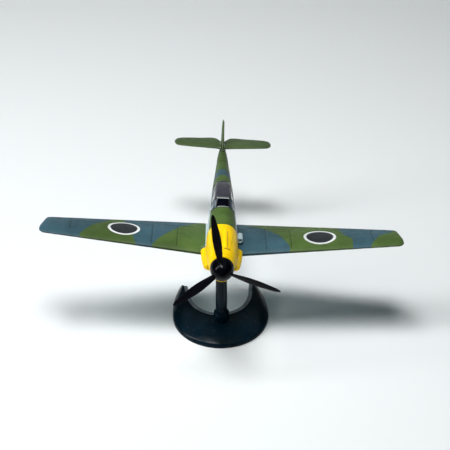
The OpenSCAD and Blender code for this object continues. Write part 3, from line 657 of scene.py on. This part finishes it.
def exhaust_stacks():
    """Six flared stacks on a common rail."""
    low, high, pitch, front, stacks, steps = -36, -4, 5.2, -31.2, 6, 14
    rail = loft([bulge(y, low, high, steps, 1.7 * (1 - abs(k) ** 6)) for k, y in
                 zip(np.linspace(-1, 1, 15), np.linspace(front, front + stacks * pitch - 0.2, 15))])
    parts = [rail]
    for stub in range(stacks):
        y0 = front + stub * pitch
        grow = mix(0.72, 1, stub / (stacks - 1))
        loops = [bulge(y0 + pitch * k, low + 3, high - 3, steps, depth * grow) for k, depth in
                 ((0.0, 0.5), (0.14, 1.7), (0.35, 3.0), (0.6, 3.9), (0.8, 4.25), (0.86, 4.2), (0.9, 3.7))]
        middle = loops[-1].mean(0)
        mouth = loops[-1] + (middle - loops[-1]) * 0.3
        deep = mouth - [0, 0.6, 0]
        # Painted shade: each stack's hollow mouth, and its front where it meets the rail, are darkened.
        dark = np.zeros((len(loops) + 2, len(mouth)))
        dark[-2:] = 0.6
        dark[0] = 0.5
        parts.append(loft(np.array(loops + [mouth, deep]), groove=dark))
    return parts


def cooler_scoop():
    ys = np.linspace(-35.5, -12, 22)
    outer = [bulge(y, -62, -118, 24, 3.1 * (1 - ease((y + 30) / 19))) for y in ys]
    first = outer[0]
    middle = (first.min(0) + first.max(0)) / 2
    mouth = middle + (first - middle) * [0.84, 1, 0.66]
    deep = [mouth + [0, d, 0] for d in (0, 1.5, 6)]
    # Painted shade darkens the scoop's deep mouth.
    dark = np.concatenate([np.full((3, len(first)), 0.9), np.zeros((len(outer), len(first)))])
    return loft(np.array(deep[::-1] + outer), groove=dark)


def intake():
    x, z = 13.4, 8.6
    profile = [(0.02, 11.2), (1.5, 10.9), (1.62, 9.75), (1.85, 9.5), (2.08, 9.75), (2.2, 10.6), (2.2, 17)]
    profile += [(2.2 * math.cos(a), 18 + 2.2 * math.sin(a)) for a in np.linspace(0, 1.45, 9)]
    body = rings(profile, (x, 0, z), "y", 40, squash=0.95)
    # Painted shade, lightly darkening the intake's shallow mouth.
    dark = np.zeros((len(profile), 40))
    dark[:2] = 0.12
    body["fields"]["groove"] = dark.reshape(-1)
    neck = [stack(np.array([10.6, 13.0, 13.0, 10.6]), np.full(4, y), np.array([z - h, z - h, z + h, z + h]))
            for y, h in ((10.4, 1.0), (11.2, 1.7), (17.5, 1.7), (19, 0.8))]
    return [body, loft(neck, fan=True)]


def stud_opening():
    return solid("stud_opening", [rings([(STUD_HOLE_R, -12), (STUD_HOLE_R, 7.2)], (0, STUD_Y, 0), "z", 64)])


def make_fuselage():
    frames = [20.0, 50.0, 71.2, 76.0, 98.0, 118.0]
    for word, side in SIDES.items():
        piece("fuselage_side_" + word,
              [body_shell(COWL_END + 0.1, TAIL_START - 0.1, constant(-89.7), lambda y: seam(y) - 0.5, 44,
                          frames, shade=side_paint)],
              ["fuselage_" + word], paints["upper"], side=side, cutters=[stud_opening()])
        piece("exhaust_stacks_" + word, exhaust_stacks(), ["exhaust_" + word],
              paints["yellow"], side=side)
    piece("engine_cowl_upper",
          [body_shell(NOSE, COWL_END - 0.1, constant(COWL_ANGLE), constant(180 - COWL_ANGLE), 132,
                      [COWL_RING_Y, SLOT_Y], step=0.9, bump=gun_fairings, shade=cowl_lines_and_shade)],
          ["cowl_upper"], paints["yellow"], bevel=0.2)
    piece("engine_cowl_lower",
          [body_shell(NOSE, -0.6, constant(COWL_ANGLE - 1), constant(1 - 180 - COWL_ANGLE), 60,
                      [COWL_RING_Y, -8.0])],
          ["cowl_lower"], paints["yellow"], bevel=0.2)
    piece("cooler_scoop", [cooler_scoop()], ["oil_cooler_scoop"], paints["yellow"])
    piece("air_intake", intake(), ["supercharger_intake"], paints["pale"], bevel=0)
    piece("nose_deck",
          [body_shell(COWL_END + 0.1, DECK_END, seam, lambda y: 180 - seam(y), 60, [DECK_END - 1.2])],
          ["cowl_deck"], paints["upper"], bevel=0.15)
    piece("spine_deck",
          [body_shell(HOOD_END + 0.1, TAIL_START - 0.1, seam, lambda y: 180 - seam(y), 44,
                      [72.4, 76.0, 98.0, 118.0], shade=lambda p: {"patch": deck_bands(p[..., 1])})],
          ["rear_deck"], paints["upper"], bevel=0.15)


# ---------------------------------------------------------------- canopy

def hood_strip(path_y, path_u, width, height):
    points = hood_pt(path_y, path_u)
    return ribbon(points, surface_normal(hood_pt, path_y, path_u), width, height)


PANE = 0.3                  # share of the windscreen's width, each side, that its slanted side panes take
SIDE_ROWS = 10              # lines of points across each side pane
PANE_Y, PANE_ANGLE = 29.7, 64.5             # the centre pane's front corners on the deck


def shield_edges():
    """The windscreen's front edge on the deck and its back edge on the hood, from left to right."""
    us = np.concatenate([np.linspace(0, PANE, SIDE_ROWS), np.linspace(PANE, 1 - PANE, 22)[1:-1],
                         np.linspace(1 - PANE, 1, SIDE_ROWS)])
    rear = hood_pt(np.full(us.shape, HOOD_FRONT - 0.45), us)
    share = np.clip(np.minimum(us, 1 - us) / PANE, 0, 1)
    angle = mix(DECK_ANGLE, PANE_ANGLE, share)
    front = body_pt(mix(DECK_END + 0.15, PANE_Y, share), angle, -0.1)
    flat = (us > PANE) & (us < 1 - PANE)
    corner = front[np.argmax(share >= 1)]
    across = (0.5 - us[flat]) / (0.5 - PANE)
    bow = 1 - across**2
    front[flat] = stack(corner[0] * across, PANE_Y - 0.5 * bow, corner[2] + 1.1 * bow)
    front[us > 0.5, 0] = -np.abs(front[us > 0.5, 0])
    return us, front, rear


def make_canopy():
    us = np.linspace(0, 1, 73)
    ys = stations(HOOD_FRONT, HOOD_END - 0.1, 1.0)
    y, u = np.meshgrid(ys, us, indexing="ij")
    piece("hood_glass", [shell(hood_pt(y, u), hood_pt(y, u, 0.9))], ["canopy_hood"],
          paints["canopy"])
    us, front, rear = shield_edges()
    rows = np.array([mix(front, rear, k) for k in np.linspace(0, 1, 9)])
    narrow = np.stack([rows[..., 0] * 0.9, rows[..., 1] + 0.75, rows[..., 2] - 0.35], -1)
    left, right = us <= PANE + 1e-6, us >= 1 - PANE - 1e-6
    centre = (us >= PANE - 1e-6) & (us <= 1 - PANE + 1e-6)
    piece("windscreen_pane", [shell(rows[:, centre], narrow[:, centre])], ["windscreen"],
          paints["pane"], sharp=28)
    sides = [shell(rows[:, part], narrow[:, part]) for part in (left, right)]
    piece("windscreen_sides", sides, ["windscreen"], paints["side_pane"], sharp=28)
    arc = np.linspace(0.015, 0.985, 60)
    strips = [hood_strip(np.full(60, place), arc, width, 0.22)
              for place, width in ((HOOD_FRONT + 1.3, 1.3), (51.5, 0.9), (60.5, 0.9), (HOOD_END - 1.0, 1.3))]
    along = np.linspace(HOOD_FRONT + 0.3, HOOD_END - 1, 40)
    strips += [hood_strip(along, np.full(40, place), 1.0, 0.2) for place in (0.03, 0.235, 0.765, 0.97)]
    for corner in (SIDE_ROWS - 1, len(us) - SIDE_ROWS):
        path = np.array([mix(front[corner], rear[corner], k) for k in np.linspace(0.02, 0.98, 12)])
        away = np.array([np.sign(path[0, 0]) * 0.6, -0.6, 0.5])
        strips.append(ribbon(path, np.tile(away / np.linalg.norm(away), (12, 1)), 1.0, 0.15))
    sill_line = front[1:-1]
    lift = np.tile([0, -0.5, 0.87], (len(sill_line), 1))
    strips.append(ribbon(sill_line, lift, 0.7, 0.18, sink=0.05))
    piece("canopy_frames", strips, [], paints["frame"], bevel=0, sharp=50)
    # Painted highlights: pale strips along the windscreen's top frame and along the foot of its centre pane.
    top = np.linspace(0.3, 0.7, 24)
    bar = hood_strip(np.full(24, HOOD_FRONT + 0.2), top, 0.5, 0.3)
    low_edge = front[centre][2:-2] + [0, 0.25, 0.55]
    foot_bar = ribbon(low_edge, lift[:len(low_edge)], 0.28, 0.16, sink=0.05)
    piece("windscreen_highlight_strips", [bar, foot_bar], [], paints["rail"], bevel=0, sharp=50)


# ---------------------------------------------------------------- tail

def fin_row(z, y0, y1, n):
    le, te = smooth(FIN, z, 1), smooth(FIN, z, 2)
    y = mix(max(y0, le), min(y1, te), (1 - np.cos(np.pi * np.linspace(0, 1, n + 1))) / 2)
    c = (y - le) / (te - le)
    foil = np.minimum(1, 3.2 * np.sqrt(np.maximum(0, c)) * (1 - c) + 0.28)
    half = 1.35 * (1 - 0.45 * ease((z - 20) / 24)) * foil
    return np.concatenate([stack(half, y, z), stack(-half, y, z)[::-1]])


def make_tail():
    ys = stations(TAIL_START, HINGE - 0.4, 1.2)
    around = np.linspace(0, 360, 72, endpoint=False)
    cone = np.array([body_pt(np.full(72, y), around) for y in ys])
    # Painted shade: the tail cone's sides below the tailplane are darkened.
    shade = 0.62 * ease((23.2 - cone[..., 2]) / 2.5)
    piece("tail_cone", [loft(cone, fan=True, groove=shade)], ["tail_section"], paints["tail"])
    heights = np.unique(np.concatenate([np.linspace(22, 38, 24), np.linspace(38, 40.8, 12)]))
    piece("fin", [loft([fin_row(z, 100, HINGE - 0.2, 26) for z in heights])], ["tail_fin"],
          paints["tail"])
    heights = np.unique(np.concatenate([np.linspace(15.5, 38, 32), np.linspace(38, 40.8, 12)]))
    rudder = loft([fin_row(z, HINGE + 0.2, 200, 26) for z in heights])
    piece("rudder_surface", [rudder], ["rudder"], paints["tail"])
    for word, side in SIDES.items():
        piece("tailplane_surface_" + word, [tailplane()], ["tailplane_" + word], paints["tail"],
              side=side)
    tyre = rings([(1.4, -1.2), (2.6, -1.6), (3.05, -1.1), (3.1, 0), (3.05, 1.1), (2.6, 1.6), (1.4, 1.2)],
                 (0, 131.2, 4.6), "x", 48)
    fork = [stack(np.array([-w, w, w, -w]), np.array([130.2, 130.2, 132.6, 132.6]) + lean, z)
            for z, w, lean in ((3.6, 0.5, 0.4), (6, 0.9, 0), (9, 0.9, -0.4), (12.4, 1.1, -0.8))]
    piece("tail_wheel_unit", [tyre, loft(fork, fan=True)], ["tail_wheel"], paints["tyre"])


def tailplane():
    xs = stations(STAB[0][0], STAB[-1][0], 1.0, [37.0])
    c = np.unique(np.concatenate([(1 - np.cos(np.pi * np.linspace(0, 1, 31))) / 2,
                                  0.6 + 0.02 * np.array(ACROSS_LINE)]))
    x, c = np.meshgrid(xs, c, indexing="ij")
    le, te = smooth(STAB, x, 1), smooth(STAB, x, 2)
    t = mix(1.35, 0.8, x / 40) * np.minimum(1, 0.35 + (40.6 - x) / 3) * (2.9 * np.sqrt(c) * (1 - c) + 0.12)
    dent = np.maximum(line(c, [0.6], 0.02) * within(x, 3, 37.3), line(x, [37.0]) * within(c, 0.6, 1))
    y = mix(le, te, c)
    return shell(stack(x, y, STAB_Z + t - 0.13 * dent), stack(x, y, STAB_Z - t + 0.13 * dent), groove=dent)


# ---------------------------------------------------------------- wheels, radiators and propeller

def make_underside():
    for word, side in SIDES.items():
        place = panel_frame(side)
        centre = (WHEEL[0], WHEEL[1], 0)
        tread = [(TYRE_IN, -2.7), (7.2, -2.9), (8.4, -2.6), (8.85, -1.9), (WHEEL_R, -1.35), (8.85, -0.8),
                 (8.4, -0.1), (7.2, 0.2), (TYRE_IN, 0)]
        piece("tyre_ring_" + word, [rings(tread, centre, "z", 80, wrap=True)], ["tyre_" + word],
              paints["tyre"], body="wheel_" + word, place=place, bevel=0)
        disc = [(AXLE_R + 0.05, -2.5), (1.9, -2.7), (2.3, -2.3), (4.2, -2.1), (4.9, -2.65), (TYRE_IN, -2.7),
                (TYRE_IN, 0.1), (AXLE_R + 0.05, 0.1)]
        piece("wheel_disc_" + word, [rings(disc, centre, "z", 80, wrap=True)], ["wheel_hub_" + word],
              paints["grey"], body="wheel_" + word, place=place, bevel=0)
        piece("radiator_duct_" + word, radiator(), ["radiator_" + word], paints["pale"],
              side=side, bevel=0.25)


def radiator():
    """A duct under the wing with a deep mouth and a row of slats in it."""
    def section(y, low, x0=17.0, x1=32.0, top=None):
        span = np.linspace(0, 1, 13)
        x = mix(x0, x1, span)
        lower = low + 0.5 * (np.abs(2 * span - 1) ** 6)
        c = np.clip((y - wing_le(x)) / (wing_te(x) - wing_le(x)), 0, 1)
        roof = wing_mid(x, c) - half_thick(x, c) - 0.08 if top is None else np.full(x.shape, top)
        return np.concatenate([stack(x, y, np.minimum(lower, roof - 0.02)), stack(x, y, roof)[::-1]])
    belly = ((31, -5.0), (32, -5.35), (34, -5.6), (38, -5.45), (44, -5.0), (48, -3.6), (51, -1.4))
    outer = [section(y, low) for y, low in belly]
    mouth = [section(y, -4.5, 18.2, 30.8, top=-1.6) for y in (36.5, 33, 31.2)]
    # Painted shade darkens the inside of the duct's mouth.
    dark = np.concatenate([np.full((3, 26), 0.85), np.zeros((len(outer), 26))])
    slats = [box_part((x, 33.5, -4.6), (x + 0.35, 36.4, -1.7)) for x in np.linspace(19, 30, 9)]
    return [loft(np.array(mouth + outer), groove=dark)] + slats


def blade(turn_by):
    rows = np.concatenate([np.linspace(4.5, 40, 26), np.linspace(40, 44, 10)[1:]])
    loops = []
    for r in rows:
        chord, a = BLADE_CHORD * smooth(BLADE, r, 1), math.radians(smooth(BLADE, r, 2))
        t = mix(1.5, 0.45, r / 44)
        q = np.linspace(0, 2 * np.pi, 28, endpoint=False)
        u, v = chord * np.cos(q) / 2, t * np.sin(q) / 2
        loops.append(stack(-u * math.cos(a) + v * math.sin(a), -u * math.sin(a) - v * math.cos(a), r))
    made = loft(loops)
    c, s = math.cos(turn_by), math.sin(turn_by)
    x, z = made["points"][:, 0].copy(), made["points"][:, 2].copy()
    made["points"][:, 0], made["points"][:, 2] = x * c + z * s, -x * s + z * c
    made["points"] += HUB
    return made


def ogive(k):
    return SPINNER_R * (1 - k * k * (0.55 + 0.45 * k)) ** 0.78


def make_propeller():
    blades = [blade(-math.radians(BLADE_TURN + 360 * b / BLADES)) for b in range(BLADES)]
    hub = rings([(5, -2), (5, 2)], HUB, "y", 48)
    piece("blades", blades + [hub], ["propeller_blades"], paints["black"],
          body="propeller", bevel=0)
    back = NOSE - 0.5
    ks = np.linspace(0, 0.999, 40)
    outer = [(max(0.02, ogive(k)), back - k * SPINNER_LEN) for k in ks]
    inner = [(max(0.02, ogive(k) - 1.2), back - k * SPINNER_LEN) for k in np.linspace(0.84, 0, 24)]
    cap = rings([(0.02, inner[0][1])] + inner + outer, (0, 0, AXIS_Z), "y", 96)
    piece("spinner_cap", [cap], ["spinner"], paints["spinner"], body="propeller",
          bevel=0.1)


# ---------------------------------------------------------------- stand

FOOT_R, ARM_LEN, INNER_LEN, FOOT_H, OPENING_R, POST_AHEAD = 38.0, 34.5, 28.5, 9.0, 22.6, 12.8
FOOT_TURN, FOOT_SHIFT, FLARE, DOME = math.radians(4), -0.6, 2.6, 2.0
RIM_H, LIP_W, LIP_DROP, ARM_TAPER, OPENING_BACK, WALL = 3.0, 3.0, 0.4, 58.0, 16.4, 2.0
BOSS_R, BOSS_H, SOCKET_R, SOCKET_FLOOR = 6.0, 16.0, 3.55, 3
RIM_ROWS, TOP_ROWS = 3, 18                  # points of a slice of the foot on its rim, then on its top


def foot_edges(k):
    """Outer edge, lip line and opening's edge of the foot at share k of its length, in plan."""
    a = (math.pi / 2 + math.asin(ARM_LEN / ARM_TAPER)) * k
    outer = np.array([FOOT_R * math.sin(a), (-FOOT_R if abs(a) < math.pi / 2 else -ARM_TAPER) * math.cos(a)])

    def inner(r):
        arc = math.pi / 2 * r
        way = abs(k) * (arc + INNER_LEN - OPENING_BACK)
        b = min(math.pi / 2, way / r)
        wide = FLARE * ease((way / arc - 0.7) / 0.8)
        return np.array([np.sign(k) * (r * math.sin(b) + wide),
                         OPENING_BACK - r * math.cos(b) + max(0, way - arc)])
    return outer, inner(OPENING_R + LIP_W), inner(OPENING_R)


def foot_slice(k, hollow):
    o, m, e = foot_edges(k)

    def at(p, z):
        return [p[0], p[1], z]

    def height(t):
        return mix(RIM_H, FOOT_H, 1 - (1 - t) ** DOME)
    top = [at(mix(o, m, t), height(t)) for t in np.linspace(0.03, 1, TOP_ROWS)]
    low = [at(mix(o, m, t), max(0.01, (height(t) - WALL) * hollow)) for t in np.linspace(0.86, 0.12, 16)]
    rim = [at(o, 0), at(o, RIM_H - 0.9), at(mix(o, m, 0.008), RIM_H - 0.35)]
    lip = [at(mix(m, e, 0.5), FOOT_H - LIP_DROP * 0.42), at(e, FOOT_H - LIP_DROP)]
    return rim + top + lip + [at(e, 0), at(mix(e, o, 0.12), 0)] + low + [at(mix(o, e, 0.1), 0)]


def make_stand():
    steps = 56
    shell_loops = [foot_slice(i / steps, 0 if abs(i) == steps else 1) for i in range(-steps, steps + 1)]
    first_lip = RIM_ROWS + TOP_ROWS
    # The lip's rows get the pale field: a painted highlight along the lip.
    lip = np.isin(np.arange(len(shell_loops[0])), [first_lip - 1, first_lip, first_lip + 1])
    foot = loft(shell_loops, pale=np.where(lip, 1.0, -1.0)[None])
    c, s = math.cos(FOOT_TURN), math.sin(FOOT_TURN)
    x, y = foot["points"][:, 0].copy(), foot["points"][:, 1].copy()
    foot["points"][:, 0], foot["points"][:, 1] = x * c - y * s, x * s + y * c
    foot["points"] += [FOOT_SHIFT, POST_AHEAD, 0]
    boss = rings([(SOCKET_R, BOSS_H), (SOCKET_R, SOCKET_FLOOR), (0.05, SOCKET_FLOOR), (0.05, 0.02),
                  (BOSS_R, 0.02), (BOSS_R, 11), (BOSS_R, BOSS_H - 0.6), (BOSS_R - 0.5, BOSS_H)],
                 (0, 0, 0), "z", 72, wrap=True)
    room = SOCKET_R + 0.2
    bore = rings([(room, SOCKET_FLOOR), (room, BOSS_H)], (0, 0, 0), "z", 72)
    piece("foot_shell", [foot], ["stand_base"], paints["stand"], body="foot", place=IN_ROW,
          bevel=0.28, sharp=30, cutters=[solid("post_bore", [bore], place=IN_ROW)])
    piece("post_socket", [boss], ["stand_base"], paints["stand"], body="foot", place=IN_ROW,
          bevel=0.28, sharp=30)


# ---------------------------------------------------------------- kept CAD nodes

KEPT = {
    "grey": ["centre_block", "wing_spar", "engine_block", "rear_former", "seat", "propeller_shaft",
             "shaft_retainer", "gear_leg_left", "gear_leg_right"],
    "dark": ["cockpit_tub", "instrument_panel", "control_column"],
    "pale": ["gear_door_left", "gear_door_right"],
    "black": ["spinner_backplate"],
    "stand": ["stand_post"],
}


def dress_kept_nodes():
    for paint, names in KEPT.items():
        for name in names:
            node = frame["nodes"][name]
            node.data.materials.clear()
            node.data.materials.append(paints[paint])
            finish_mesh(node, 0.15, 30)


# ---------------------------------------------------------------- camera, floor and light

def make_camera():
    """A long lens from ahead and above, shifted a little to frame the model."""
    target = Vector((0, 0, 0.0795))
    distance, elevation, azimuth = 0.8236, math.radians(37.54), math.radians(0.015)
    back = Vector((math.sin(azimuth) * math.cos(elevation), -math.cos(azimuth) * math.cos(elevation),
                   math.sin(elevation)))
    data = bpy.data.cameras.new("camera")
    data.lens = 88.66
    data.sensor_width = 36
    data.shift_x, data.shift_y = 0.0080, 0.0477
    data.clip_start, data.clip_end = 0.01, 50
    camera = bpy.data.objects.new("camera", data)
    camera.location = target + back * distance
    camera.rotation_mode = "QUATERNION"
    camera.rotation_quaternion = (-back).to_track_quat("-Z", "Y")
    bpy.context.scene.collection.objects.link(camera)
    bpy.context.scene.camera = camera


def area_light(name, place, aim, size, power, colour=(1, 1, 1)):
    data = bpy.data.lights.new(name, "AREA")
    data.shape = "RECTANGLE"
    data.size, data.size_y = size
    data.energy = power
    data.color = colour
    light = bpy.data.objects.new(name, data)
    light.location = place
    light.rotation_mode = "QUATERNION"
    light.rotation_quaternion = (Vector(aim) - Vector(place)).to_track_quat("-Z", "Y")
    bpy.context.scene.collection.objects.link(light)
    return light


def make_floor():
    mesh = bpy.data.meshes.new("floor")
    half, rise = 3.0, 1.8
    bm = bmesh.new()
    rows = [(-half, 0.0), (1.2, 0.0)]
    rows += [(1.2 + math.sin(a) * 0.6, 0.6 - math.cos(a) * 0.6) for a in np.linspace(0.1, math.pi / 2, 12)]
    rows += [(1.8, rise)]
    left = [bm.verts.new((-half, y, z)) for y, z in rows]
    right = [bm.verts.new((half, y, z)) for y, z in rows]
    for i in range(len(rows) - 1):
        bm.faces.new((left[i], right[i], right[i + 1], left[i + 1]))
    bm.to_mesh(mesh)
    bm.free()
    mesh.shade_smooth()
    floor = bpy.data.objects.new("floor", mesh)
    bpy.context.scene.collection.objects.link(floor)
    material = bpy.data.materials.new("floor_paper")
    material.use_nodes = True
    shader = material.node_tree.nodes["Principled BSDF"]
    shader.inputs["Base Color"].default_value = (0.86, 0.89, 0.90, 1)
    shader.inputs["Roughness"].default_value = 0.9
    shader.inputs["Specular IOR Level"].default_value = 0.05
    mesh.materials.append(material)


def make_light():
    world = bpy.data.worlds.new("studio")
    bpy.context.scene.world = world
    world.use_nodes = True
    background = world.node_tree.nodes["Background"]
    background.inputs["Color"].default_value = (0.6, 0.92, 1.0, 1)
    background.inputs["Strength"].default_value = 0.03
    area_light("top_soft", (-0.1, -0.15, 1.2), (0, 0, 0.05), (0.5, 0.28), 10.5)
    area_light("left_soft", (-0.95, -0.15, 0.95), (0, 0, 0.05), (0.22, 1.2), 11)
    card = area_light("ceiling_card", (0, 0.5, 2.0), (0, 0.5, 0), (3.2, 2.6), 17, (0.72, 0.95, 1.0))
    card.visible_diffuse = False
    card.visible_camera = False


bpy.context.scene.view_settings.view_transform = "Standard"
make_camera()
make_floor()
make_light()
make_wings()
make_fuselage()
make_canopy()
make_tail()
make_underside()
make_propeller()
make_stand()
dress_kept_nodes()
